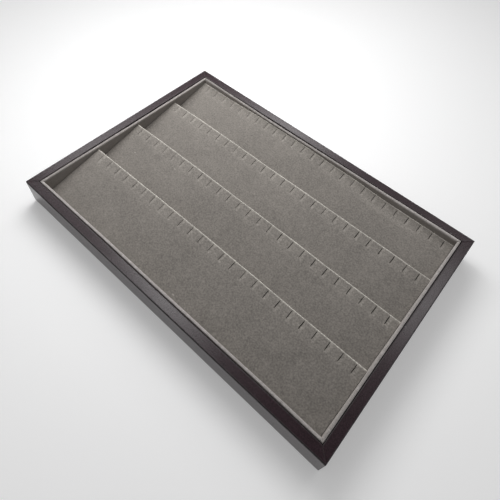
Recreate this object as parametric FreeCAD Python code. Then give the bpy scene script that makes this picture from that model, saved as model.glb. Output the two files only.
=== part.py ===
import FreeCAD, Part
import math
import os
from collections import namedtuple

# A jewelry tray: a leatherette-wrapped frame with a lift-out insert of four sloping, slitted rows.
# Lengths are in millimetres and angles in degrees. The tray stands on z = 0, centred on the origin,
# with its long sides along x. The front is the side at minus y, where the lowest end of the rows is.

# Overall size
tray_length = 350.0
tray_width = 240.0
tray_height = 30.0

# Frame: four mitred rails, each in its own wrap
rail_thickness = 7.6
wrap_thickness = 0.6
wrap_edge_radius = 0.5

# Base: a panel let into a rabbet under the rails, and the felt that the tray stands on
panel_thickness = 3.0
panel_clearance = 0.2
rabbet_width = 3.2
felt_thickness = 1.0
felt_inset = 2.5

# Steel V-nails pressed up into the mitres
nail_height = 7.0
nail_leg = 4.5
nail_thickness = 0.6

# Insert: a floor and four covered liner walls, with room to lift out of the frame
insert_clearance = 0.4
seat_clearance = 0.2
floor_thickness = 2.0
liner_thickness = 1.4
fabric_thickness = 0.6
rim_radius = 1.1

# Rows: each a sloping board on a riser, under a foam pad and a fabric cover
board_thickness = 1.5
foam_thickness = 5.0
riser_thickness = 1.2
row_clearance = 0.3
ridge_radius = 0.6

# Where each row ends at its ridge, as a share of the depth between the front and rear liner covers,
# and the height of that ridge, as a share of the tray's height
ridge_shares = (0.290, 0.530, 0.7745, 1.0)
ridge_height_shares = (0.892, 0.877, 0.832, 0.852)

# Slits: a line of short cuts under each ridge
slit_width = 0.7
slit_length = 9.0
slit_pitch = 12.8
slit_ridge_margin = 1.2
slit_end_margin = 8.0

# How far each row's slits stand to the right of the tray's middle, as a share of their pitch
slit_shift_shares = (0.07, -0.02, -0.05, 0.03)

# The most of a wall's thickness that one rounding of its top may take
rounding_limit_share = 0.48

# How far a cutting shape passes the faces that it cuts
cut_overrun = 4.0

# Sizes that follow from those above
frame_width = rail_thickness + 2 * wrap_thickness
rabbet_edge = frame_width - rabbet_width
rail_bottom = felt_thickness + wrap_thickness
panel_top = felt_thickness + panel_thickness
half_length = tray_length / 2
half_width = tray_width / 2

rim_width = liner_thickness + 2 * fabric_thickness
insert_bottom = panel_top + seat_clearance
floor_top = insert_bottom + floor_thickness
insert_half_length = half_length - frame_width - insert_clearance
insert_half_width = half_width - frame_width - insert_clearance
inner_half_length = insert_half_length - rim_width
inner_half_width = insert_half_width - rim_width

row_half_length = inner_half_length - row_clearance
foam_bottom = fabric_thickness + foam_thickness
board_bottom = foam_bottom + board_thickness

# Quarter turns that bring the front side to each side of the tray
side_turns = {"front": 0, "right": 90, "rear": 180, "left": 270}

# One row: the y of its low front end and of its ridge, its slope and the cosine of its angle
Row = namedtuple("Row", "start ridge slope cosine")


def rounded_face(corners):
    """A face in the plane x = 0 through corners given as (y, z, radius)."""
    points = [FreeCAD.Vector(0, y, z) for y, z, radius in corners]
    count = len(corners)
    bends = []
    for index, (y, z, radius) in enumerate(corners):
        here = points[index]
        back = (points[index - 1] - here).normalize()
        ahead = (points[(index + 1) % count] - here).normalize()
        half_angle = back.getAngle(ahead) / 2
        reach = radius / math.tan(half_angle)
        middle = here + (back + ahead).normalize() * (radius / math.sin(half_angle) - radius)
        bends.append((here + back * reach, middle, here + ahead * reach))
    edges = []
    for index, (entry, middle, leave) in enumerate(bends):
        if corners[index][2] > 0:
            edges.append(Part.Arc(entry, middle, leave).toShape())
        edges.append(Part.LineSegment(leave, bends[(index + 1) % count][0]).toShape())
    return Part.Face(Part.Wire(edges))


def mitred_ring(half_x, half_y, section):
    """One mitred bar along each side of a rectangle. The section's y runs inwards from the rectangle's edge."""
    box = section.BoundBox
    depth = box.YMax
    bars = {}
    for side, turn in side_turns.items():
        along, out = (half_x, half_y) if side in ("front", "rear") else (half_y, half_x)
        bar = section.copy()
        bar.translate(FreeCAD.Vector(-along, 0, 0))
        bar = bar.extrude(FreeCAD.Vector(2 * along, 0, 0))
        plan = [(-along, 0), (along, 0), (along - depth, depth), (depth - along, depth), (-along, 0)]
        outline = Part.makePolygon([FreeCAD.Vector(x, y, box.ZMin) for x, y in plan])
        bar = bar.common(Part.Face(outline).extrude(FreeCAD.Vector(0, 0, box.ZLength)))
        bar.translate(FreeCAD.Vector(0, -out, 0))
        bar.rotate(FreeCAD.Vector(0, 0, 0), FreeCAD.Vector(0, 0, 1), turn)
        bars[side] = bar
    return bars


def sheet(half_x, half_y, bottom, thickness):
    """A flat rectangular panel, centred on the tray."""
    return Part.makeBox(2 * half_x, 2 * half_y, thickness, FreeCAD.Vector(-half_x, -half_y, bottom))


def wall_corners(near, far, bottom, top, radius):
    """The outline of an upright wall with a rounded top."""
    round_off = min(radius, (far - near) * rounding_limit_share)
    return [(near, bottom, 0), (near, top, round_off), (far, top, round_off), (far, bottom, 0)]


def frame_wraps():
    """Leatherette from under each rail, up its outer face, over the top and down its inner face."""
    outside = wall_corners(0, frame_width, felt_thickness, tray_height, wrap_edge_radius)
    inside = wall_corners(
        wrap_thickness,
        frame_width - wrap_thickness,
        rail_bottom,
        tray_height - wrap_thickness,
        max(wrap_edge_radius - wrap_thickness, 0),
    )
    outside[3] = (frame_width, panel_top, 0)
    inside[3] = (frame_width - wrap_thickness, panel_top, 0)
    turn_in = [(rabbet_edge, rail_bottom, 0), (rabbet_edge, felt_thickness, 0)]
    return mitred_ring(half_length, half_width, rounded_face(outside + inside[::-1] + turn_in))


def frame_rails():
    """The solid rails inside the wraps, with the rabbet for the base panel."""
    corners = wall_corners(
        wrap_thickness,
        frame_width - wrap_thickness,
        rail_bottom,
        tray_height - wrap_thickness,
        max(wrap_edge_radius - wrap_thickness, 0),
    )
    corners[3] = (frame_width - wrap_thickness, panel_top, 0)
    corners += [(rabbet_edge, panel_top, 0), (rabbet_edge, rail_bottom, 0)]
    return mitred_ring(half_length, half_width, rounded_face(corners))


def mitre_nails():
    """One V-nail in each corner, its legs along the two rails and its apex on the mitre."""
    apex = (wrap_thickness + rabbet_edge) / 2
    start = apex - nail_thickness / 2
    reach = nail_leg + nail_thickness / 2
    nails = []
    for x_sign in (-1, 1):
        for y_sign in (-1, 1):
            x_edge = x_sign * (half_length - start)
            y_edge = y_sign * (half_width - start)
            legs = []
            for x_size, y_size in ((reach, nail_thickness), (nail_thickness, reach)):
                low_x = min(x_edge, x_edge - x_sign * x_size)
                low_y = min(y_edge, y_edge - y_sign * y_size)
                low = FreeCAD.Vector(low_x, low_y, rail_bottom)
                legs.append(Part.makeBox(x_size, y_size, nail_height, low))
            nails.append(legs[0].fuse(legs[1]).removeSplitter())
    return Part.makeCompound(nails)


def base_panel():
    """The panel that fills the rabbets under the rails."""
    edge = rabbet_edge + panel_clearance
    return sheet(half_length - edge, half_width - edge, felt_thickness, panel_thickness)


def base_felt():
    """The sheet on the underside, set in from the edges of the frame."""
    return sheet(half_length - felt_inset, half_width - felt_inset, 0, felt_thickness)


def liner_covers():
    """Fabric from the bottom of the insert's outside, over each liner wall and down to the floor inside."""
    outside = wall_corners(0, rim_width, insert_bottom, tray_height, rim_radius)
    outside[3] = (rim_width, floor_top, 0)
    inside = wall_corners(
        fabric_thickness,
        rim_width - fabric_thickness,
        insert_bottom,
        tray_height - fabric_thickness,
        max(rim_radius - fabric_thickness, 0),
    )
    inside[3] = (rim_width - fabric_thickness, floor_top, 0)
    return mitred_ring(insert_half_length, insert_half_width, rounded_face(outside + inside[::-1]))


def liner_walls():
    """The boards inside the liner covers, standing on the insert's floor."""
    corners = wall_corners(
        fabric_thickness,
        rim_width - fabric_thickness,
        floor_top,
        tray_height - fabric_thickness,
        max(rim_radius - fabric_thickness, 0),
    )
    return mitred_ring(insert_half_length, insert_half_width, rounded_face(corners))


def insert_floor():
    """The board under the whole insert, inside the turned-down fabric."""
    return sheet(
        insert_half_length - fabric_thickness,
        insert_half_width - fabric_thickness,
        insert_bottom,
        floor_thickness,
    )


def sloped_row(start, ridge, ridge_height):
    """The row whose board meets the floor at its low end and whose cover reaches the ridge's height."""
    depth = ridge - start
    rise = ridge_height - floor_top
    angle = math.acos(board_bottom / math.hypot(rise, depth)) - math.atan2(depth, rise)
    return Row(start, ridge, math.tan(angle), math.cos(angle))


def row_surface(row, y, depth):
    """Height of a row's layer at y, where depth is measured square to the slope from the top of the cover."""
    low_end = floor_top + board_bottom / row.cosine
    return low_end + (y - row.start) * row.slope - depth / row.cosine


def layer_corners(row, near, far, upper, lower):
    """The outline of one sloping layer of a row, between two depths."""
    return [
        (near, row_surface(row, near, lower), 0),
        (near, row_surface(row, near, upper), 0),
        (far, row_surface(row, far, upper), 0),
        (far, row_surface(row, far, lower), 0),
    ]


def across_row(corners):
    """A row's outline drawn out to the row's full length."""
    face = rounded_face(corners)
    face.translate(FreeCAD.Vector(-row_half_length, 0, 0))
    return face.extrude(FreeCAD.Vector(2 * row_half_length, 0, 0))


def slit_cutters(row, shift_share):
    """Upright blades at an even pitch along the row."""
    top = row.ridge - slit_ridge_margin * row.cosine
    bottom = top - slit_length * row.cosine
    blade = rounded_face(layer_corners(row, bottom, top, -cut_overrun, foam_bottom + cut_overrun))
    blade.translate(FreeCAD.Vector(-slit_width / 2, 0, 0))
    blade = blade.extrude(FreeCAD.Vector(slit_width, 0, 0))
    gaps = int(2 * (row_half_length - slit_end_margin) / slit_pitch)
    blades = []
    for index in range(gaps + 1):
        one = blade.copy()
        one.translate(FreeCAD.Vector((index - gaps / 2 + shift_share) * slit_pitch, 0, 0))
        blades.append(one)
    return Part.makeCompound(blades)


def row_pieces(row, slits):
    """The cover, foam, board and riser of one row, from its low front end to its ridge."""
    start, ridge = row.start, row.ridge
    back = ridge - fabric_thickness

    top_layer = layer_corners(row, start, ridge, 0, fabric_thickness)
    ridge_point = (ridge, row_surface(row, ridge, 0), ridge_radius)
    inner_ridge = (back, row_surface(row, back, fabric_thickness), 0)
    drop = [(ridge, floor_top, 0), (back, floor_top, 0)]
    cover = across_row(top_layer[:2] + [ridge_point] + drop + [inner_ridge]).cut(slits)

    foam = across_row(layer_corners(row, start, back, fabric_thickness, foam_bottom)).cut(slits)
    board = across_row(layer_corners(row, start, back, foam_bottom, board_bottom))

    near = back - riser_thickness
    riser = across_row([
        (near, floor_top, 0),
        (near, row_surface(row, near, board_bottom), 0),
        (back, row_surface(row, back, board_bottom), 0),
        (back, floor_top, 0),
    ])
    return {"cover": cover, "foam": foam, "board": board, "riser": riser}


def all_pieces():
    """Every piece of the tray by its name."""
    nails = mitre_nails()
    pieces = {"mitre_v_nails": nails, "base_panel": base_panel(), "base_felt": base_felt()}
    for side, rail in frame_rails().items():
        pieces[side + "_rail"] = rail.cut(nails)
    for side, wrap in frame_wraps().items():
        pieces[side + "_wrap"] = wrap

    pieces["insert_floor"] = insert_floor()
    for side, wall in liner_walls().items():
        pieces[side + "_liner"] = wall
    for side, cover in liner_covers().items():
        pieces[side + "_liner_cover"] = cover

    row_front = -inner_half_width
    row_shares = zip(ridge_shares, ridge_height_shares, slit_shift_shares)
    for number, (ridge_share, height_share, shift_share) in enumerate(row_shares, start=1):
        ridge = (2 * ridge_share - 1) * inner_half_width
        row = sloped_row(row_front + row_clearance, ridge, height_share * tray_height)
        for name, piece in row_pieces(row, slit_cutters(row, shift_share)).items():
            pieces[f"row_{number}_{name}"] = piece
        row_front = ridge
    return pieces


os.makedirs("parts", exist_ok=True)
for name, piece in all_pieces().items():
    solids = piece.Solids
    print(name, len(solids), "solid", round(piece.Volume, 2), piece.isValid())
    shape = solids[0] if len(solids) == 1 else Part.makeCompound(solids)
    shape.exportStep(f"parts/{name}.step")
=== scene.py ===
import bpy
import bmesh
import math
import random
from mathutils import Matrix, Vector, noise


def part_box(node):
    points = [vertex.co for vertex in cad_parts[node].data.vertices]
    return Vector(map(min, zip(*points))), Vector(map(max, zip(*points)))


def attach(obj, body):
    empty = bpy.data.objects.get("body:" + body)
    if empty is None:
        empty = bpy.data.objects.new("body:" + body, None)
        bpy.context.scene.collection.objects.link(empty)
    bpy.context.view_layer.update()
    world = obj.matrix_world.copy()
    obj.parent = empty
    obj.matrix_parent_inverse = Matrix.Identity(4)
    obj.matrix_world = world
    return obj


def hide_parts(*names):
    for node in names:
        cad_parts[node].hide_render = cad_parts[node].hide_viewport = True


# jewelry tray: wrapped frame, lift-out insert with four sloping slitted rows
# mesh work is in millimetres, brought to metres when a piece is made

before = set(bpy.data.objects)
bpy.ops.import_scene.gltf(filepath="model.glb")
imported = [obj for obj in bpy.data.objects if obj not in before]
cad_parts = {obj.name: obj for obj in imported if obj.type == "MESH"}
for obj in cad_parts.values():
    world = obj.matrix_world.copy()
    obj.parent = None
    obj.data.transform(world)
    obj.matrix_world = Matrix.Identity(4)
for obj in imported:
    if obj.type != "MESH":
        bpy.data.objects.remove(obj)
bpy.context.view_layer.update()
scene = bpy.context.scene
mm = 0.001
sides = {"front": 0, "right": 90, "rear": 180, "left": 270}
rowNumbers = (1, 2, 3, 4)


# camera, solved from the tray's edges, rims and ridges in the picture

photoCamera = {
    "place": (0.14474, -0.19460, 0.36971),
    "ahead": (-0.35793, 0.48471, -0.79809),
    "up": (-0.55488, 0.57702, 0.59930),
    "lens": 32.105,
    "shiftY": -0.1018,
    "sensor": 36.0,
    "clipStart": 0.01,
}


def setCamera(values):
    ahead = Vector(values["ahead"]).normalized()
    right = ahead.cross(Vector(values["up"])).normalized()
    turn = Matrix((right, right.cross(ahead), -ahead)).transposed()
    data = bpy.data.cameras.new("photoCamera")
    data.sensor_width = values["sensor"]
    data.lens = values["lens"]
    data.shift_y = values["shiftY"]
    data.clip_start = values["clipStart"]
    camera = bpy.data.objects.new("photoCamera", data)
    camera.matrix_world = Matrix.Translation(values["place"]) @ turn.to_4x4()
    scene.collection.objects.link(camera)
    scene.camera = camera


setCamera(photoCamera)
print("camera set")


# node helpers

def addNode(tree, kind, inputs=None, **settings):
    node = tree.nodes.new(kind)
    for key, value in settings.items():
        setattr(node, key, value)
    for key, value in (inputs or {}).items():
        if isinstance(value, bpy.types.NodeSocket):
            tree.links.new(value, node.inputs[key])
        else:
            node.inputs[key].default_value = value
    return node


def calc(tree, operation, first, second, clamp=False):
    node = addNode(tree, "ShaderNodeMath", {0: first, 1: second}, operation=operation)
    node.use_clamp = clamp
    return node.outputs[0]


def blendColours(tree, factor, first, second, kind="MIX"):
    node = addNode(tree, "ShaderNodeMix", {0: factor, 6: first, 7: second}, data_type="RGBA")
    node.blend_type = kind
    return node.outputs[2]


def spreadFrom(tree, reach, mask):
    low, spread = reach
    return calc(tree, "ADD", low, calc(tree, "MULTIPLY", mask, spread))


def grainNoise(tree, vector, scale, detail=2.0, roughness=0.5, distortion=0.0):
    values = {"Vector": vector, "Scale": scale, "Detail": detail}
    values.update({"Roughness": roughness, "Distortion": distortion})
    return addNode(tree, "ShaderNodeTexNoise", values).outputs["Fac"]


def newGroup(name, takes, gives):
    tree = bpy.data.node_groups.new(name, "ShaderNodeTree")
    for label, kind, value in takes:
        socket = tree.interface.new_socket(name=label, in_out="INPUT", socket_type=kind)
        if value is not None:
            socket.default_value = value
    for label in gives:
        tree.interface.new_socket(name=label, in_out="OUTPUT", socket_type="NodeSocketFloat")
    start = tree.nodes.new("NodeGroupInput")
    end = tree.nodes.new("NodeGroupOutput")
    return tree, start.outputs, end.inputs


def useGroup(tree, group, inputs):
    return addNode(tree, "ShaderNodeGroup", inputs, node_tree=group).outputs


def newMaterial(name):
    material = bpy.data.materials.new(name)
    material.use_nodes = True
    tree = material.node_tree
    shader = tree.nodes["Principled BSDF"]
    place = tree.nodes.new("ShaderNodeTexCoord").outputs["Object"]
    return material, tree, shader, place


def readLayer(tree, name):
    return addNode(tree, "ShaderNodeAttribute", attribute_name=name).outputs["Fac"]


def bumpTo(tree, shader, height, strength, distance):
    values = {"Height": height, "Strength": strength, "Distance": distance}
    bump = addNode(tree, "ShaderNodeBump", values)
    tree.links.new(bump.outputs["Normal"], shader.inputs["Normal"])


# shared effects: brushed nap, board fibre, broken-up masks for the painted fold shade and highlight and for
# brushed nap, stray lint

napEffect = {"coarse": 0.2, "roughness": (0.82, 0.18)}


def makeNapGroup(values):
    takes = [
        ("Vector", "NodeSocketVector", None),
        ("Nap Size", "NodeSocketFloat", 0.0012),
        ("Patch Size", "NodeSocketFloat", 0.03),
        ("Grain", "NodeSocketFloat", 0.8),
        ("Mottle", "NodeSocketFloat", 0.3),
    ]
    tree, given, out = newGroup("brushedNap", takes, ["Tone", "Height", "Roughness"])
    fine = grainNoise(tree, given["Vector"], calc(tree, "DIVIDE", 1.0, given["Nap Size"]), 1.0, 0.6)
    coarse = calc(tree, "DIVIDE", values["coarse"], given["Nap Size"])
    middle = grainNoise(tree, given["Vector"], coarse, 2.0, 0.6)
    patch = grainNoise(tree, given["Vector"], calc(tree, "DIVIDE", 1.0, given["Patch Size"]), 2.0, 0.5, 0.8)
    speckle = calc(tree, "MULTIPLY", calc(tree, "SUBTRACT", fine, 0.5), given["Grain"])
    cloud = calc(tree, "SUBTRACT", calc(tree, "ADD", middle, patch), 1.0)
    cloud = calc(tree, "MULTIPLY", cloud, given["Mottle"])
    tone = calc(tree, "ADD", 1.0, calc(tree, "ADD", speckle, cloud))
    tree.links.new(tone, out["Tone"])
    tree.links.new(fine, out["Height"])
    tree.links.new(spreadFrom(tree, values["roughness"], middle), out["Roughness"])
    return tree


fibreEffect = {"stretch": (0.25, 1.0, 1.0), "cloud": 0.06, "roughness": (0.7, 0.25)}


def makeFibreGroup(values):
    takes = [
        ("Vector", "NodeSocketVector", None),
        ("Fibre Size", "NodeSocketFloat", 0.001),
        ("Fleck", "NodeSocketFloat", 0.3),
    ]
    tree, given, out = newGroup("boardFibre", takes, ["Tone", "Height", "Roughness"])
    drawn = {"Vector": given["Vector"], "Scale": values["stretch"]}
    drawn = addNode(tree, "ShaderNodeMapping", drawn).outputs[0]
    strand = grainNoise(tree, drawn, calc(tree, "DIVIDE", 1.0, given["Fibre Size"]), 4.0, 0.7, 0.6)
    cloudScale = calc(tree, "DIVIDE", values["cloud"], given["Fibre Size"])
    cloud = grainNoise(tree, given["Vector"], cloudScale, 3.0, 0.6)
    sway = calc(tree, "ADD", calc(tree, "SUBTRACT", strand, 0.5), calc(tree, "SUBTRACT", cloud, 0.5))
    tone = calc(tree, "ADD", 1.0, calc(tree, "MULTIPLY", sway, given["Fleck"]))
    tree.links.new(tone, out["Tone"])
    tree.links.new(strand, out["Height"])
    tree.links.new(spreadFrom(tree, values["roughness"], cloud), out["Roughness"])
    return tree


brokenMaskEffect = {"gapStart": 0.42, "gapGain": 6.0}


# breaks up a mask with noise; it carries the painted shade and painted highlight on folds, and the brushed
# nap
def makeBrokenMaskGroup(values):
    takes = [
        ("Fold", "NodeSocketFloat", 0.0),
        ("Vector", "NodeSocketVector", None),
        ("Break Size", "NodeSocketFloat", 0.004),
        ("Break", "NodeSocketFloat", 0.5),
    ]
    tree, given, out = newGroup("brokenFoldMask", takes, ["Mask"])
    speck = grainNoise(tree, given["Vector"], calc(tree, "DIVIDE", 1.0, given["Break Size"]), 4.0, 0.7)
    gap = calc(tree, "SUBTRACT", speck, values["gapStart"])
    gap = calc(tree, "MULTIPLY", gap, values["gapGain"], True)
    whole = calc(tree, "SUBTRACT", 1.0, given["Break"])
    kept = calc(tree, "ADD", calc(tree, "MULTIPLY", gap, given["Break"]), whole)
    tree.links.new(calc(tree, "MULTIPLY", kept, given["Fold"], True), out["Mask"])
    return tree


lintEffect = {"turn": (0.3, 0.2, 0.6), "stretch": (0.4, 1.0, 1.0), "edgeGain": 2.0}


def makeLintGroup(values):
    takes = [
        ("Vector", "NodeSocketVector", None),
        ("Spacing", "NodeSocketFloat", 0.012),
        ("Size", "NodeSocketFloat", 0.0005),
    ]
    tree, given, out = newGroup("strayLint", takes, ["Mask"])
    turned = {"Vector": given["Vector"], "Rotation": values["turn"], "Scale": values["stretch"]}
    turned = addNode(tree, "ShaderNodeMapping", turned).outputs[0]
    cells = {"Vector": turned, "Scale": calc(tree, "DIVIDE", 1.0, given["Spacing"])}
    cells = addNode(tree, "ShaderNodeTexVoronoi", cells).outputs["Distance"]
    far = calc(tree, "DIVIDE", calc(tree, "MULTIPLY", cells, given["Spacing"]), given["Size"])
    inside = calc(tree, "SUBTRACT", 1.0, far)
    tree.links.new(calc(tree, "MULTIPLY", inside, values["edgeGain"], True), out["Mask"])
    return tree


napGroup = makeNapGroup(napEffect)
fibreGroup = makeFibreGroup(fibreEffect)
brokenMaskGroup = makeBrokenMaskGroup(brokenMaskEffect)
lintGroup = makeLintGroup(lintEffect)


def napOf(tree, place, values):
    sizes = {"Vector": place, "Nap Size": values["napSize"], "Patch Size": values["patchSize"]}
    sizes.update({"Grain": values["grain"], "Mottle": values["mottle"]})
    return useGroup(tree, napGroup, sizes)


def brokenMask(tree, place, layer, size, share):
    values = {"Fold": readLayer(tree, layer), "Vector": place, "Break Size": size, "Break": share}
    return useGroup(tree, brokenMaskGroup, values)["Mask"]


def lintMask(tree, place, values):
    sizes = {"Vector": place, "Spacing": values["lintSpacing"], "Size": values["lintSize"]}
    mask = useGroup(tree, lintGroup, sizes)["Mask"]
    return calc(tree, "MULTIPLY", mask, values["lintTone"])


# finishes

leatheretteFinish = {
    "colour": (0.0185, 0.0090, 0.0120, 1),
    "second": (0.0420, 0.0210, 0.0280, 1),
    "toneRest": 1.1,
    "grainSize": 0.0007,
    "grainGain": 2.4,
    "drawSize": 0.0011,
    "drawStretch": (1, 1, 0.06),
    "drawTone": 0.4,
    "drawHeight": 0.8,
    "cloudScale": 60.0,
    "cloudTone": 0.5,
    "speckSize": 0.0009,
    "speckTone": 2.0,
    # painted shade: near-black colour for the rail's rounded top edges; the same mask also marks the dark
    # mitre joints
    "paintedFoldColour": (0.006, 0.0045, 0.005, 1),
    "foldBreakSize": 0.005,
    "foldBreak": 0.3,
    "foldDull": 0.65,
    "lintColour": (0.20, 0.19, 0.19, 1),
    "lintSpacing": 0.011,
    "lintSize": 0.0006,
    "lintTone": 0.6,
    "roughness": (0.22, 0.08),
    "bump": (0.035, 0.00010),
}


def makeLeatherette(values):
    material, tree, shader, place = newMaterial("leatherette")
    cells = addNode(tree, "ShaderNodeTexVoronoi", {"Vector": place, "Scale": 1 / values["grainSize"]})
    cells.feature = "DISTANCE_TO_EDGE"
    pebble = calc(tree, "MULTIPLY", cells.outputs["Distance"], values["grainGain"], True)
    drawn = {"Vector": place, "Scale": values["drawStretch"]}
    drawn = addNode(tree, "ShaderNodeMapping", drawn).outputs[0]
    draw = grainNoise(tree, drawn, 1 / values["drawSize"], 3.0, 0.6)
    cloud = grainNoise(tree, place, values["cloudScale"], 3.0, 0.55)
    speck = grainNoise(tree, place, 1 / values["speckSize"], 1.0, 0.6)
    shade = calc(tree, "MULTIPLY", cloud, values["cloudTone"])
    shade = calc(tree, "ADD", shade, calc(tree, "MULTIPLY", draw, values["drawTone"]))
    shade = calc(tree, "ADD", shade, calc(tree, "MULTIPLY", speck, values["speckTone"]))
    shade = calc(tree, "SUBTRACT", shade, values["toneRest"], True)
    colour = blendColours(tree, shade, values["colour"], values["second"])
    # painted shade along the outer and inner top edges, plus the dark mitre joints, with duller gloss there
    paintedFoldMask = brokenMask(tree, place, "fold", values["foldBreakSize"], values["foldBreak"])
    colour = blendColours(tree, paintedFoldMask, colour, values["paintedFoldColour"])
    colour = blendColours(tree, lintMask(tree, place, values), colour, values["lintColour"])
    tree.links.new(colour, shader.inputs["Base Color"])
    gloss = spreadFrom(tree, values["roughness"], cloud)
    gloss = calc(tree, "ADD", gloss, calc(tree, "MULTIPLY", paintedFoldMask, values["foldDull"]))
    tree.links.new(gloss, shader.inputs["Roughness"])
    height = calc(tree, "ADD", pebble, calc(tree, "MULTIPLY", draw, values["drawHeight"]))
    bumpTo(tree, shader, height, *values["bump"])
    return material


suedeShared = {
    "foldBreakSize": 0.003,
    "brushBreakSize": 0.002,
    "brushBreak": 0.35,
    "lintSize": 0.0007,
    "lintTone": 0.5,
    "specular": 0.2,
    "sheenRoughness": 0.7,
    "bump": (0.35, 0.0002),
}

rowSuedeFinish = {
    **suedeShared,
    "name": "rowSuede",
    "colour": (0.156, 0.1435, 0.1295, 1),
    # painted highlight: pale colour on the ridge folds, standing in for sheen where the nap turns over
    "paintedFoldColour": (0.60, 0.575, 0.52, 1),
    "brushColour": (0.288, 0.267, 0.241, 1),
    "foldBreak": 0.15,
    "napSize": 0.0014,
    "patchSize": 0.035,
    "grain": 1.7,
    "mottle": 0.45,
    "lintSpacing": 0.016,
    "sheen": 0.74,
    "sheenTint": (1.0, 0.925, 0.85, 1),
}

rimSuedeFinish = {
    **suedeShared,
    "name": "rimSuede",
    "colour": (0.138, 0.127, 0.117, 1),
    # painted highlight: pale colour on the rim crests, standing in for sheen where the nap turns over
    "paintedFoldColour": (0.51, 0.48, 0.467, 1),
    "brushColour": (0.58, 0.55, 0.54, 1),
    "foldBreak": 0.25,
    "napSize": 0.0011,
    "patchSize": 0.02,
    "grain": 0.8,
    "mottle": 0.25,
    "lintSpacing": 0.03,
    "sheen": 0.6,
    "sheenTint": (1.0, 0.92, 0.87, 1),
}


def makeSuede(values):
    material, tree, shader, place = newMaterial(values["name"])
    nap = napOf(tree, place, values)
    # painted highlight on the fold layer: ridge folds and rim crests are paled
    paintedFoldMask = brokenMask(tree, place, "fold", values["foldBreakSize"], values["foldBreak"])
    swept = brokenMask(tree, place, "brush", values["brushBreakSize"], values["brushBreak"])
    colour = blendColours(tree, swept, values["colour"], values["brushColour"])
    colour = blendColours(tree, paintedFoldMask, colour, values["paintedFoldColour"])
    colour = blendColours(tree, 1.0, colour, nap["Tone"], "MULTIPLY")
    colour = blendColours(tree, lintMask(tree, place, values), colour, values["paintedFoldColour"])
    tree.links.new(colour, shader.inputs["Base Color"])
    tree.links.new(nap["Roughness"], shader.inputs["Roughness"])
    shader.inputs["Specular IOR Level"].default_value = values["specular"]
    shader.inputs["Sheen Weight"].default_value = values["sheen"]
    shader.inputs["Sheen Roughness"].default_value = values["sheenRoughness"]
    shader.inputs["Sheen Tint"].default_value = values["sheenTint"]
    bumpTo(tree, shader, nap["Height"], *values["bump"])
    return material


feltFinish = {
    "colour": (0.0075, 0.0068, 0.0068, 1),
    "napSize": 0.0016,
    "patchSize": 0.05,
    "grain": 0.9,
    "mottle": 0.8,
    "lintColour": (0.06, 0.056, 0.055, 1),
    "lintSpacing": 0.006,
    "lintSize": 0.0008,
    "lintTone": 0.4,
    "specular": 0.15,
    "sheen": 0.15,
    "bump": (0.6, 0.0004),
}


def makeFelt(values):
    material, tree, shader, place = newMaterial("baseFelt")
    nap = napOf(tree, place, values)
    colour = blendColours(tree, 1.0, values["colour"], nap["Tone"], "MULTIPLY")
    colour = blendColours(tree, lintMask(tree, place, values), colour, values["lintColour"])
    tree.links.new(colour, shader.inputs["Base Color"])
    tree.links.new(nap["Roughness"], shader.inputs["Roughness"])
    shader.inputs["Specular IOR Level"].default_value = values["specular"]
    shader.inputs["Sheen Weight"].default_value = values["sheen"]
    bumpTo(tree, shader, nap["Height"], *values["bump"])
    return material


foamFinish = {
    "colour": (0.075, 0.072, 0.068, 1),
    "second": (0.030, 0.029, 0.028, 1),
    "cell": 0.0006,
    "poreGain": 1.5,
    "roughness": (0.85, 0.12),
    "specular": 0.15,
    "bump": (0.6, 0.0003),
}


def makeFoam(values):
    material, tree, shader, place = newMaterial("rowFoam")
    cells = addNode(tree, "ShaderNodeTexVoronoi", {"Vector": place, "Scale": 1 / values["cell"]})
    pore = calc(tree, "MULTIPLY", cells.outputs["Distance"], values["poreGain"], True)
    colour = blendColours(tree, pore, values["second"], values["colour"])
    tree.links.new(colour, shader.inputs["Base Color"])
    tree.links.new(spreadFrom(tree, values["roughness"], pore), shader.inputs["Roughness"])
    shader.inputs["Specular IOR Level"].default_value = values["specular"]
    bumpTo(tree, shader, pore, *values["bump"])
    return material


boardFinishes = {
    "mdfBoard": {"colour": (0.23, 0.135, 0.065, 1), "fibre": 0.0007, "fleck": 0.5, "bump": 0.15},
    "hardboard": {"colour": (0.085, 0.048, 0.026, 1), "fibre": 0.0012, "fleck": 0.8, "bump": 0.2},
    "greyboard": {"colour": (0.21, 0.20, 0.18, 1), "fibre": 0.0016, "fleck": 0.55, "bump": 0.25},
}


boardShared = {"specular": 0.3, "bumpDistance": 0.0002}


def makeBoard(name, values):
    material, tree, shader, place = newMaterial(name)
    fibreValues = {"Vector": place, "Fibre Size": values["fibre"], "Fleck": values["fleck"]}
    fibre = useGroup(tree, fibreGroup, fibreValues)
    colour = blendColours(tree, 1.0, values["colour"], fibre["Tone"], "MULTIPLY")
    tree.links.new(colour, shader.inputs["Base Color"])
    tree.links.new(fibre["Roughness"], shader.inputs["Roughness"])
    shader.inputs["Specular IOR Level"].default_value = boardShared["specular"]
    bumpTo(tree, shader, fibre["Height"], values["bump"], boardShared["bumpDistance"])
    return material


steelFinish = {
    "colour": (0.32, 0.32, 0.33, 1),
    "second": (0.55, 0.55, 0.56, 1),
    "streak": 0.0004,
    "stretch": (1, 1, 0.1),
    "roughness": (0.28, 0.25),
    "bump": (0.15, 0.0001),
}


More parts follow.
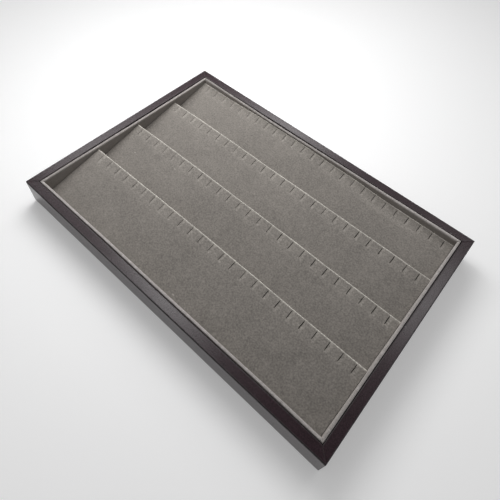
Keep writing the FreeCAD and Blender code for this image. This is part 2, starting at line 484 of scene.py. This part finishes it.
def makeSteel(values):
    material, tree, shader, place = newMaterial("nailSteel")
    streak = addNode(tree, "ShaderNodeMapping", {"Vector": place, "Scale": values["stretch"]}).outputs[0]
    streak = grainNoise(tree, streak, 1 / values["streak"], 3.0, 0.6)
    colour = blendColours(tree, streak, values["colour"], values["second"])
    tree.links.new(colour, shader.inputs["Base Color"])
    tree.links.new(spreadFrom(tree, values["roughness"], streak), shader.inputs["Roughness"])
    shader.inputs["Metallic"].default_value = 1.0
    bumpTo(tree, shader, streak, *values["bump"])
    return material


leatherette = makeLeatherette(leatheretteFinish)
rowSuede = makeSuede(rowSuedeFinish)
rimSuede = makeSuede(rimSuedeFinish)
baseFelt = makeFelt(feltFinish)
rowFoam = makeFoam(foamFinish)
boards = {name: makeBoard(name, values) for name, values in boardFinishes.items()}
nailSteel = makeSteel(steelFinish)
print("finishes made:", len(bpy.data.materials))


# mesh helpers

spot = 0.01  # points nearer than this count as one place
cutGrip = 0.001  # a cut takes points nearer than this as lying on it
runLeast = 1.0  # edges longer than this along a strip are its runs


def clampShare(low, high, value):
    share = min(max((value - low) / (high - low), 0.0), 1.0)
    return share * share * (3.0 - 2.0 * share)


def fade(reach, value):
    return 1.0 - clampShare(*reach, value)


def inBand(band, value):
    rise, fall = band
    return clampShare(*rise, value) * clampShare(*fall, value)


def bell(spread, value):
    middle, reach = spread
    return math.exp(-((value - middle) / reach) ** 2)


def alongRun(places, levels, place):
    level = levels[0]
    for i in range(1, len(places)):
        level += (levels[i] - levels[i - 1]) * clampShare(places[i - 1], places[i], place)
    return level


def ripple(point, size, seed):
    return noise.noise(Vector(point) / size + Vector((seed, seed * 0.37, seed * 1.91)))


def foldStrip(corners, halfRun):
    bm = bmesh.new()
    line = [bm.verts.new((-halfRun, y, z)) for y, z in corners]
    for here, there in zip(line, line[1:]):
        bm.edges.new((here, there))
    made = bmesh.ops.extrude_edge_only(bm, edges=bm.edges[:])["geom"]
    moved = [v for v in made if isinstance(v, bmesh.types.BMVert)]
    bmesh.ops.translate(bm, verts=moved, vec=(2 * halfRun, 0, 0))
    return bm


def roundFold(bm, y, z, size, segments):
    fold = [e for e in bm.edges if all(math.hypot(v.co.y - y, v.co.z - z) < spot for v in e.verts)]
    bmesh.ops.bevel(
        bm, geom=fold, offset=size, offset_type="OFFSET", affect="EDGES",
        segments=segments, profile=0.5, material=-1,
    )


def splitRuns(bm, halfRun, step):
    runs = [e for e in bm.edges if abs(e.verts[0].co.x - e.verts[1].co.x) > runLeast]
    bmesh.ops.subdivide_edges(bm, edges=runs, cuts=int(2 * halfRun / step), use_grid_fill=True)


def scoreLines(bm, normal, places):
    normal = Vector(normal).normalized()
    for place in places:
        everything = bm.verts[:] + bm.edges[:] + bm.faces[:]
        bmesh.ops.bisect_plane(bm, geom=everything, dist=cutGrip, plane_co=normal * place, plane_no=normal)


def cutMitres(bm, halfRun, rests):
    for sign in (-1, 1):
        normal = Vector((sign, 1, 0)).normalized()
        edge = halfRun * math.sqrt(0.5)
        scoreLines(bm, normal, [edge - rest for rest in rests[1:]])
        everything = bm.verts[:] + bm.edges[:] + bm.faces[:]
        bmesh.ops.bisect_plane(
            bm, geom=everything, dist=cutGrip, plane_co=normal * (edge - rests[0]),
            plane_no=normal, clear_outer=True,
        )


def mitreRest(co, halfRun):
    return (halfRun - abs(co.x) - co.y) * math.sqrt(0.5)


def faceOutward(bm, y, z):
    bmesh.ops.recalc_face_normals(bm, faces=bm.faces[:])
    bm.normal_update()
    outward = 0.0
    for face in bm.faces:
        middle = face.calc_center_median()
        outward += face.normal.dot(Vector((0, middle.y - y, middle.z - z))) * face.calc_area()
    if outward < 0:
        bmesh.ops.reverse_faces(bm, faces=bm.faces[:])
    bm.normal_update()


def moveAll(moves):
    for vert, move in moves:
        vert.co += move


def toSide(bm, out, turn):
    bmesh.ops.translate(bm, verts=bm.verts[:], vec=(0, -out, 0))
    matrix = Matrix.Rotation(math.radians(turn), 3, "Z")
    bmesh.ops.rotate(bm, verts=bm.verts[:], cent=(0, 0, 0), matrix=matrix)
    bm.normal_update()


def thicken(bm, thickness):
    bmesh.ops.solidify(bm, geom=bm.faces[:], thickness=thickness)


def makePiece(name, bm, material, body, nodes, sharp=40):
    bmesh.ops.scale(bm, vec=(mm, mm, mm), verts=bm.verts[:])
    for face in bm.faces:
        face.smooth = True
    mesh = bpy.data.meshes.new(name)
    bm.to_mesh(mesh)
    bm.free()
    mesh.set_sharp_from_angle(angle=math.radians(sharp))
    mesh.materials.append(material)
    piece = bpy.data.objects.new(name, mesh)
    scene.collection.objects.link(piece)
    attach(piece, body)
    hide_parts(*nodes)
    return piece


def boxOf(node):
    low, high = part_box(node)
    return low / mm, high / mm


def sideRun(node, side):
    low, high = boxOf(node)
    if side in ("front", "rear"):
        return high.x, max(abs(low.y), abs(high.y)), high.y - low.y, low.z, high.z
    return high.y, max(abs(low.x), abs(high.x)), high.x - low.x, low.z, high.z


# frame wraps: leatherette from under each rail, over it and down inside

frameWrap = {
    "turnIn": 5.6,
    "innerBottom": 4.0,
    "edgeRound": 0.5,
    "edgeSegments": 4,
    "edgeLines": (0.6, 1.1),
    "bottomRound": 0.5,
    "bottomSegments": 3,
    "outerReach": 4.0,
    "outerFade": (0.35, 0.8),
    "innerFold": 0.6,
    "innerFade": (0.3, 0.9),
    "mitreFold": 0.2,
    "mitreFade": (0.05, 0.5),
    "thickness": 0.52,
    "flatWidth": 68.7,
    "step": 5.0,
    "wallLines": (2.1, 3.3, 7.0, 13.0, 19.0, 27.8),
    "mitreLines": (0.03, 0.25, 0.6, 1.4),
    "mitreSink": 0.09,
    "sinkFade": (0.0, 0.9),
    "waveRest": 0.5,
    "wave": 0.06,
    "waveSize": 34.0,
    "peel": 0.005,
    "peelSize": 6.0,
}


def makeWrap(side, turn, values):
    halfRun, out, width, bottom, top = sideRun(side + "_wrap", side)
    corners = [(values["turnIn"], bottom), (0, bottom), (0, top)]
    corners += [(width, top), (width, values["innerBottom"])]
    bm = foldStrip(corners, halfRun)
    roundFold(bm, 0, top, values["edgeRound"], values["edgeSegments"])
    roundFold(bm, width, top, values["edgeRound"], values["edgeSegments"])
    roundFold(bm, 0, bottom, values["bottomRound"], values["bottomSegments"])
    splitRuns(bm, halfRun, values["step"])
    lines = values["edgeLines"]  # close to the fold, so the flats stay flat
    scoreLines(bm, (0, 0, 1), [top - depth for depth in lines + values["wallLines"]])
    scoreLines(bm, (0, 1, 0), [*lines, width / 2, *(width - line for line in lines)])
    cutMitres(bm, halfRun, values["mitreLines"])
    faceOutward(bm, width / 2, top / 2)
    # fold layer: painted shade along the outer and inner top edges; the mitre share marks the dark mitre
    # joints
    fold = bm.verts.layers.float.new("fold")
    moves = []
    for vert in bm.verts:
        rest = mitreRest(vert.co, halfRun)
        outer = math.hypot(vert.co.y, (vert.co.z - top) / values["outerReach"])
        outer = fade(values["outerFade"], outer)
        inner = fade(values["innerFade"], math.hypot(vert.co.y - width, vert.co.z - top))
        mitre = fade(values["mitreFade"], rest)
        vert[fold] = max(outer, values["innerFold"] * inner, values["mitreFold"] * mitre)
        sink = fade(values["sinkFade"], rest)
        moves.append((vert, vert.normal * -values["mitreSink"] * sink * sink))
    moveAll(moves)
    toSide(bm, out, turn)
    for vert in bm.verts:
        lift = values["wave"] * (ripple(vert.co, values["waveSize"], 3.1) - values["waveRest"])
        lift += values["peel"] * (ripple(vert.co, values["peelSize"], 7.7) - values["waveRest"])
        vert.co += vert.normal * lift
    thicken(bm, values["thickness"])
    piece = makePiece(side + "Wrap", bm, leatherette, "frame", [side + "_wrap"])


for side, turn in sides.items():
    makeWrap(side, turn, frameWrap)
print("frame wraps made")


# liner covers: suede from outside the insert, over the liner wall and down to the floor

linerCover = {
    "innerBottom": 6.2,
    "outerRound": 0.8,
    "outerSegments": 4,
    "innerRound": 1.2,
    "innerSegments": 5,
    "thickness": 0.3,
    "flatWidth": 51.0,
    "step": 1.6,
    "rimLines": (1.7, 2.6, 3.5, 4.4),
    "wallStep": 0.9,
    "mitreLines": (0.04, 0.3, 0.7, 1.4),
    "mitreSink": 0.16,
    "sinkFade": (0.0, 0.8),
    "leanPlaces": (-1.0, -0.7, -0.35, 0.0, 0.35, 0.7, 1.0),
    "lean": {
        "front": (-0.05, 0.18, 0.49, 0.38, 0.45, 0.6, 0.22),
        "right": (-0.15, 0.0, 0.0, -0.05, -0.05, 0.1, 0.2),
        "rear": (-0.3, -0.3, 0.06, 0.46, 0.77, 0.15, -0.3),
        "left": (0.3, 0.75, 0.9, 0.78, 0.52, 0.1, 0.05),
    },
    # painted highlight on the rim crest, its strength set per side and along each side
    "leanFade": (2.4, 1.0),
    "palePlaces": (-1.0, 0.0, 1.0),
    "pale": {
        "front": (0.7, 0.72, 0.66),
        "right": (0.48, 0.55, 0.6),
        "rear": (1.0, 0.38, 0.29),
        "left": (0.59, 0.5, 0.5),
    },
    "foldFade": (0.7, 2.2),
    "pucker": 0.05,
    "puckerSize": 2.6,
    "puckerRest": 0.4,
    "puckerFade": (4.0, 1.0),
    "brushPinch": (0.1, 0.6),
    "brushFade": (1.5, 0.2),
    "crease": 0.12,
    "creaseSize": 1.6,
    "creaseRun": 30.0,
    "creaseRest": 0.4,
    "creaseFade": (3.5, 6.0),
    "wave": 0.05,
    "waveSize": 22.0,
    "waveRest": 0.6,
}


def makeLinerCover(side, turn, values):
    halfRun, out, width, bottom, top = sideRun(side + "_liner_cover", side)
    corners = [(0, bottom), (0, top), (width, top), (width, values["innerBottom"])]
    bm = foldStrip(corners, halfRun)
    roundFold(bm, 0, top, values["outerRound"], values["outerSegments"])
    roundFold(bm, width, top, values["innerRound"], values["innerSegments"])
    splitRuns(bm, halfRun, values["step"])
    lines = list(values["rimLines"])
    while lines[-1] + values["wallStep"] < top - values["innerBottom"]:
        lines.append(lines[-1] + values["wallStep"])
    scoreLines(bm, (0, 0, 1), [top - line for line in lines])
    cutMitres(bm, halfRun, values["mitreLines"])
    faceOutward(bm, width / 2, top / 2)
    fold = bm.verts.layers.float.new("fold")
    brush = bm.verts.layers.float.new("brush")
    moves = []
    for vert in bm.verts:
        co = vert.co
        depth = top - co.z
        share = co.x / halfRun
        # painted highlight on the crest, fading down the wall
        pale = alongRun(values["palePlaces"], values["pale"][side], share)
        vert[fold] = pale * fade(values["foldFade"], depth)
        sink = fade(values["sinkFade"], mitreRest(co, halfRun))
        move = vert.normal * -values["mitreSink"] * sink * sink
        lean = alongRun(values["leanPlaces"], values["lean"][side], share)
        move.y += lean * clampShare(*values["leanFade"], depth)
        pinch = ripple((co.x, turn, 0), values["puckerSize"], 5.3)
        pucker = values["pucker"] * (pinch - values["puckerRest"])
        move += vert.normal * pucker * clampShare(*values["puckerFade"], depth)
        # paler brushed patches, scaled by the painted crest highlight
        swept = clampShare(*values["brushPinch"], pinch) * vert[fold]
        vert[brush] = swept * clampShare(*values["brushFade"], depth)
        if co.y > width - spot:
            crease = ripple((co.x / values["creaseRun"], depth, turn), values["creaseSize"], 6.1)
            crease = values["crease"] * (crease - values["creaseRest"])
            move += vert.normal * crease * clampShare(*values["creaseFade"], depth)
        moves.append((vert, move))
    moveAll(moves)
    toSide(bm, out, turn)
    for vert in bm.verts:
        lift = values["wave"] * (ripple(vert.co, values["waveSize"], 11.9) - values["waveRest"])
        vert.co += vert.normal * lift
    thicken(bm, values["thickness"])
    piece = makePiece(side + "LinerCover", bm, rimSuede, "insert", [side + "_liner_cover"])


for side, turn in sides.items():
    makeLinerCover(side, turn, linerCover)
print("liner covers made")


# rows: a slitted foam pad and a slitted suede cover on each sloping board

rowShape = {
    "board": 1.5,
    "stack": 7.1,
    "coverThickness": 0.5,
    "foamTop": 0.62,
    "foamBottom": 5.54,
    "foamInset": 0.7,
    "foamEnd": 0.1,
    "foamLeast": 0.1,
    "foamLines": 6,
    "turnDown": 1.3,
    "ridgeRound": 0.6,
    "ridgeSegments": 5,
    "ridgePale": (0.5, 1.4),
    "riserLine": 1.6,
    "frontRound": 0.5,
    "frontSegments": 3,
    "fieldStep": 6.0,
    "wave": 0.16,
    "waveSize": 24.0,
    "waveRest": 0.35,
    "waveEdge": 6.0,
    "liftPlaces": (-160.0, -120.0, -70.0, -20.0, 40.0, 100.0, 160.0),
    "lifts": {
        1: (-0.1, 0.45, 1.2, 1.35, 0.0, -2.0, -3.4),
        2: (-0.1, 0.95, 1.1, 0.6, 0.0, -1.65, -2.7),
        3: (-0.3, 0.65, 0.75, 0.0, -0.2, -0.55, -1.25),
        4: (-0.7, -0.5, 1.8, 1.8, -0.1, -2.8, -3.3),
    },
}

slitShape = {
    "count": 25,
    "pitch": 12.8,
    "shifts": {1: 0.07, 2: -0.02, 3: -0.05, 4: 0.03},
    "width": 0.7,
    "fromRidge": 1.2,
    "length": 9.0,
    "besides": (0.35, 0.85, 1.6, 2.5, 3.8),
    "along": (0.0, 0.1, 0.25, 0.43, 0.61, 0.78, 0.91, 1.0),
    "past": (-0.07, 1.09, 1.22, 1.43, 1.76),
    "topFacing": 0.5,
    "edgeStart": 0.5,
    "moodSeed": 40,
    "moods": {"open": (0.85, 1.2), "lift": (0.65, 1.0), "lean": (-0.2, 0.2), "sweep": (0.65, 1.0)},
    "bodyPower": 0.4,
    "nearReach": 1.1,
    "tipOpen": 0.25,
    "lift": 0.32,
    "dip": 0.14,
    "leanFrom": 0.2,
    "leanBand": ((-0.2, 0.1), (1.6, 1.0)),
    "endAlong": (1.03, 0.14),
    "endBeside": (0.6, 1.5),
    "endLift": 0.12,
    "endBrush": 0.65,
    "lipBeside": ((0.2, 1.2), (4.2, 1.9)),
    "lipBand": ((-0.12, 0.05), (1.2, 1.0)),
    "bandBrush": 0.17,
    "bandEnd": (1.7, 1.1),
    "smears": {4: 0.4},
    "smearBand": ((0.8, 1.1), (1.9, 1.3)),
    "smearRun": ((10.0, 80.0), (140.0, 120.0)),
}


def rowLie(number, shape, slits):
    low, high = boxOf(f"row_{number}_board")
    rise = high.z - low.z
    depth = high.y - low.y
    angle = math.acos(shape["board"] / math.hypot(rise, depth)) - math.atan2(depth, rise)
    low, high = boxOf(f"row_{number}_cover")
    lie = {"number": number, "start": low.y, "ridge": high.y, "floor": low.z, "halfRun": high.x}
    lie["angle"] = angle
    lie["lowTop"] = low.z + shape["stack"] / math.cos(angle)
    lie["ridgeTop"] = lie["lowTop"] + (high.y - low.y) * math.tan(angle)
    lie["slitTop"] = high.y - slits["fromRidge"] * math.cos(angle)
    lie["slitReach"] = slits["length"] * math.cos(angle)
    middle = (slits["count"] - 1) / 2 - slits["shifts"][number]
    lie["slits"] = [(i - middle) * slits["pitch"] for i in range(slits["count"])]
    return lie


def rowHeight(lie, y):
    return lie["lowTop"] + (y - lie["start"]) * math.tan(lie["angle"])


def rowWave(co, lie, shape):
    edge = clampShare(0.0, shape["waveEdge"], lie["halfRun"] - abs(co.x))
    return shape["wave"] * edge * (ripple(co, shape["waveSize"], 2.3) - shape["waveRest"])


def rowLift(co, lie, shape):
    lift = alongRun(shape["liftPlaces"], shape["lifts"][lie["number"]], co.x)
    share = (co.z - lie["lowTop"]) / (lie["ridgeTop"] - lie["lowTop"])
    return min(max(share, 0.0), 1.0) * lift


def cutSlits(bm, lie, slits):
    opened = []
    for face in bm.faces:
        middle = face.calc_center_median()
        nearest = min(abs(middle.x - place) for place in lie["slits"])
        inReach = lie["slitTop"] - lie["slitReach"] < middle.y < lie["slitTop"]
        if nearest < slits["width"] / 2 and inReach and abs(face.normal.z) > slits["topFacing"]:
            opened.append(face)
    bmesh.ops.delete(bm, geom=opened, context="FACES")


def slitMoods(lie, slits):
    pick = random.Random(slits["moodSeed"] + lie["number"])
    moods = []
    for place in lie["slits"]:
        mood = {name: pick.uniform(*reach) for name, reach in slits["moods"].items()}
        mood["place"] = place
        moods.append(mood)
    return moods


def slitEdge(co, mood, lie, slits):
    beside = co.x - mood["place"]
    along = (lie["slitTop"] - co.y) / lie["slitReach"]
    half = slits["width"] / 2
    up = Vector((0, -math.sin(lie["angle"]), math.cos(lie["angle"])))
    body = math.sin(math.pi * min(max(along, 0.0), 1.0)) ** slits["bodyPower"]
    near = math.exp(-max(abs(beside) - half, 0) / slits["nearReach"])
    end = bell(slits["endAlong"], along) * bell(slits["endBeside"], beside) * mood["lift"]
    height = slits["lift"] if beside > 0 else -slits["dip"]
    move = up * (height * mood["lift"] * body * near + slits["endLift"] * end)
    if abs(beside) < half + 2 * spot and -spot < along < 1 + spot:
        gape = slits["tipOpen"] + (1.0 - slits["tipOpen"]) * body
        move.x += math.copysign(half * mood["open"] * gape, beside) - beside
    move.x += mood["lean"] * (along - slits["leanFrom"]) * near * inBand(slits["leanBand"], along)
    lip = inBand(slits["lipBeside"], beside) * inBand(slits["lipBand"], along) * mood["sweep"]
    band = slits["bandBrush"] * clampShare(*slits["bandEnd"], along)
    smear = slits["smears"].get(lie["number"], 0.0)
    smear *= inBand(slits["smearBand"], along) * inBand(slits["smearRun"], co.x)
    return move, min(max(lip, slits["endBrush"] * end, band, smear), 1.0)


def rowCoverSheet(lie, shape, slits):
    start, ridge, floor = lie["start"], lie["ridge"], lie["floor"]
    lowTop, ridgeTop = lie["lowTop"], lie["ridgeTop"]
    corners = [(start, lowTop - shape["turnDown"]), (start, lowTop), (ridge, ridgeTop), (ridge, floor)]
    bm = foldStrip(corners, lie["halfRun"])
    roundFold(bm, ridge, ridgeTop, shape["ridgeRound"], shape["ridgeSegments"])
    roundFold(bm, start, lowTop, shape["frontRound"], shape["frontSegments"])
    across = [lie["slits"][0] - slits["pitch"] / 2]
    for place in lie["slits"]:
        for beside in slits["besides"]:
            across += [place - beside, place + beside]
        across.append(place + slits["pitch"] / 2)
    scoreLines(bm, (1, 0, 0), across)
    scoreLines(bm, (0, 0, 1), [ridgeTop - shape["riserLine"]])  # keeps the pale edge off the riser
    deep = [lie["slitTop"] - lie["slitReach"] * share for share in slits["along"] + slits["past"]]
    fieldStart = min(deep)
    count = round((fieldStart - start) / shape["fieldStep"])
    deep += [start + (fieldStart - start) * i / count for i in range(1, count)]
    scoreLines(bm, (0, 1, 0), deep + [start + shape["frontRound"] * 2])
    bm.normal_update()
    cutSlits(bm, lie, slits)
    faceOutward(bm, (start + ridge) / 2, floor)
    return bm


def makeRowCover(lie, shape, slits):
    ridge, ridgeTop = lie["ridge"], lie["ridgeTop"]
    bm = rowCoverSheet(lie, shape, slits)
    fold = bm.verts.layers.float.new("fold")
    brush = bm.verts.layers.float.new("brush")
    moods = slitMoods(lie, slits)
    moves = []
    for vert in bm.verts:
        co = vert.co
        # fold layer: painted highlight along the ridge fold
        vert[fold] = fade(shape["ridgePale"], math.hypot(co.y - ridge, co.z - ridgeTop))
        move = vert.normal * rowWave(co, lie, shape)
        move.z += rowLift(co, lie, shape)
        if co.z > lie["lowTop"] and co.y < lie["slitTop"] + slits["edgeStart"]:
            mood = min(moods, key=lambda one: abs(co.x - one["place"]))
            edge, vert[brush] = slitEdge(co, mood, lie, slits)
            move += edge
        moves.append((vert, move))
    moveAll(moves)
    thicken(bm, shape["coverThickness"])
    number = lie["number"]
    piece = makePiece(f"row{number}Cover", bm, rowSuede, "insert", [f"row_{number}_cover"])


def makeRowFoam(lie, shape, slits):
    near = lie["start"] + shape["foamInset"]
    far = lie["ridge"] - shape["foamInset"]
    sunk = shape["foamTop"] / math.cos(lie["angle"])
    corners = [(y, rowHeight(lie, y) - sunk) for y in (near, far)]
    bm = foldStrip(corners, lie["halfRun"] - shape["foamEnd"])
    half = slits["width"] / 2
    scoreLines(bm, (1, 0, 0), [place + side * half for place in lie["slits"] for side in (-1, 1)])
    low = lie["slitTop"] - lie["slitReach"]
    count = shape["foamLines"]
    lines = [near + (low - near) * i / count for i in range(1, count + 1)]
    scoreLines(bm, (0, 1, 0), lines + [(low + lie["slitTop"]) / 2, lie["slitTop"]])
    bm.normal_update()
    cutSlits(bm, lie, slits)
    faceOutward(bm, near, 0)
    thickness = shape["foamBottom"] - shape["foamTop"]
    thicken(bm, thickness)  # square to the slope, so the lower rear edge comes out behind the cover
    for vert in bm.verts:
        depth = (rowHeight(lie, vert.co.y) - vert.co.z) * math.cos(lie["angle"])
        if depth < (shape["foamTop"] + shape["foamBottom"]) / 2:
            sink = min(rowWave(vert.co, lie, shape), 0.0) + rowLift(vert.co, lie, shape)
            vert.co.z += max(sink, shape["foamLeast"] - thickness)
    number = lie["number"]
    piece = makePiece(f"row{number}Foam", bm, rowFoam, "insert", [f"row_{number}_foam"])


for number in rowNumbers:
    lie = rowLie(number, rowShape, slitShape)
    makeRowFoam(lie, rowShape, slitShape)
    makeRowCover(lie, rowShape, slitShape)
    print("row", number, "made, at", round(math.degrees(lie["angle"]), 1), "degrees")


# base felt, glued under the panel

feltSheet = {
    "cuts": (38, 30),
    "thickness": 0.9,
    "glueSink": 0.02,
    "edgeWave": 0.25,
    "edgeWaveSize": 18.0,
    "dimple": 0.05,
    "dimpleSize": 7.0,
}


def makeBaseFelt(values):
    low, high = boxOf("base_felt")
    across, deep = values["cuts"]
    wave = values["edgeWave"]
    bm = bmesh.new()
    bmesh.ops.create_grid(bm, x_segments=across, y_segments=deep, size=1.0)
    bmesh.ops.scale(bm, vec=(high.x - wave, high.y - wave, 1), verts=bm.verts[:])
    bmesh.ops.translate(bm, vec=(0, 0, high.z - values["glueSink"]), verts=bm.verts[:])
    for vert in bm.verts:
        if vert.is_boundary:
            vert.co.x += wave * ripple(vert.co, values["edgeWaveSize"], 4.4)
            vert.co.y += wave * ripple(vert.co, values["edgeWaveSize"], 8.1)
    faceOutward(bm, 0, low.z)
    thicken(bm, values["thickness"])
    for vert in bm.verts:
        if vert.co.z < high.z / 2:
            vert.co.z += values["dimple"] * abs(ripple(vert.co, values["dimpleSize"], 1.7))
    piece = makePiece("baseFelt", bm, baseFelt, "frame", ["base_felt"])


makeBaseFelt(feltSheet)
print("base felt made")


# boards and nails keep their own shapes

keptFinishes = {
    "mdfBoard": [side + "_rail" for side in sides],
    "hardboard": ["base_panel"],
    "greyboard": [side + "_liner" for side in sides] + ["insert_floor"]
    + [f"row_{number}_{part}" for number in rowNumbers for part in ("board", "riser")],
}


def finishNode(name, material):
    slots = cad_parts[name].data.materials
    slots.clear()
    slots.append(material)


for finish, names in keptFinishes.items():
    for name in names:
        finishNode(name, boards[finish])
finishNode("mitre_v_nails", nailSteel)
print("boards and nails finished")


# floor and soft light

studio = {
    "floorSize": 12.0,
    "floorColour": (0.80, 0.80, 0.80, 1),
    "floorSecond": (0.76, 0.76, 0.765, 1),
    "floorGlow": 0.28,
    "floorDrop": 0.0002,
    "floorCloud": 3.0,
    "floorRoughness": 0.9,
    "floorSpecular": 0.1,
    "skyPlaces": (0.0, 0.2, 0.4, 0.6, 0.8, 1.0),
    "skyBehind": (0.33, 0.285, 0.08, 0.10, 0.87, 0.06),
    "skyBefore": (0.3, 0.2, 0.34, 0.31, 0.05, 0.02),
    "skyToward": (-0.8, 0.6, 0.0),
    "skyTurn": (-0.4, 0.5),
}

softboxes = {
    "stripBox": {
        "place": (-0.337, 0.326, 0.415),
        "long": (0.546, 0.838, 0),
        "size": (0.83, 0.108),
        "power": 1.185,
    },
    "fillBox": {"place": (-0.185, 0.104, 0.35), "long": (1, 0, 0), "size": (0.25, 0.25), "power": 0.86},
    "roundBox": {"place": (0.183, 0.401, 0.592), "long": (1, 0, 0), "size": (0.2, 0.2), "power": 0.288},
    "topBox": {"place": (-0.193, 0.041, 0.62), "long": (1, 0, 0), "size": (0.17, 0.2), "power": 0.268},
}


def makeFloor(values):
    bm = bmesh.new()
    bmesh.ops.create_grid(bm, x_segments=2, y_segments=2, size=values["floorSize"] / 2)
    bmesh.ops.translate(bm, vec=(0, 0, -values["floorDrop"]), verts=bm.verts[:])
    mesh = bpy.data.meshes.new("floor")
    bm.to_mesh(mesh)
    bm.free()
    material, tree, shader, place = newMaterial("paleFloor")
    cloud = grainNoise(tree, place, values["floorCloud"])
    colour = blendColours(tree, cloud, values["floorColour"], values["floorSecond"])
    tree.links.new(colour, shader.inputs["Base Color"])
    shader.inputs["Roughness"].default_value = values["floorRoughness"]
    shader.inputs["Specular IOR Level"].default_value = values["floorSpecular"]
    shader.inputs["Emission Color"].default_value = (1, 1, 1, 1)
    shader.inputs["Emission Strength"].default_value = values["floorGlow"]
    mesh.materials.append(material)
    floor = bpy.data.objects.new("floor", mesh)
    scene.collection.objects.link(floor)


def skyRamp(tree, height, places, levels):
    ramp = addNode(tree, "ShaderNodeValToRGB", {0: height})
    spots = ramp.color_ramp.elements
    while len(spots) < len(places):
        spots.new(0.5)
    for spot, place, level in zip(spots, places, levels):
        spot.position = place
        spot.color = (level, level, level, 1)
    return ramp.outputs["Color"]


def makeSky(values):
    world = bpy.data.worlds.new("softRoom")
    world.use_nodes = True
    tree = world.node_tree
    place = tree.nodes.new("ShaderNodeTexCoord").outputs["Generated"]
    height = addNode(tree, "ShaderNodeSeparateXYZ", {0: place}).outputs["Z"]
    before = skyRamp(tree, height, values["skyPlaces"], values["skyBefore"])
    behind = skyRamp(tree, height, values["skyPlaces"], values["skyBehind"])
    facing = {0: place, 1: values["skyToward"]}
    facing = addNode(tree, "ShaderNodeVectorMath", facing, operation="DOT_PRODUCT").outputs["Value"]
    low, high = values["skyTurn"]
    reach = {"Value": facing, "From Min": low, "From Max": high}
    reach = addNode(tree, "ShaderNodeMapRange", reach).outputs[0]
    colour = blendColours(tree, reach, before, behind)
    tree.links.new(colour, tree.nodes["Background"].inputs["Color"])
    scene.world = world


def makeSoftbox(name, values):
    lamp = bpy.data.lights.new(name, "AREA")
    lamp.shape = "ELLIPSE"
    lamp.size, lamp.size_y = values["size"]
    lamp.energy = values["power"]
    away = Vector(values["place"]).normalized()
    across = away.cross(Vector(values["long"])).normalized()
    turn = Matrix((across.cross(away), across, away)).transposed()
    softbox = bpy.data.objects.new(name, lamp)
    softbox.matrix_world = Matrix.Translation(values["place"]) @ turn.to_4x4()
    softbox.visible_camera = False
    scene.collection.objects.link(softbox)


makeFloor(studio)
makeSky(studio)
for name, values in softboxes.items():
    makeSoftbox(name, values)
scene.view_settings.view_transform = "Standard"
print("floor and light made")
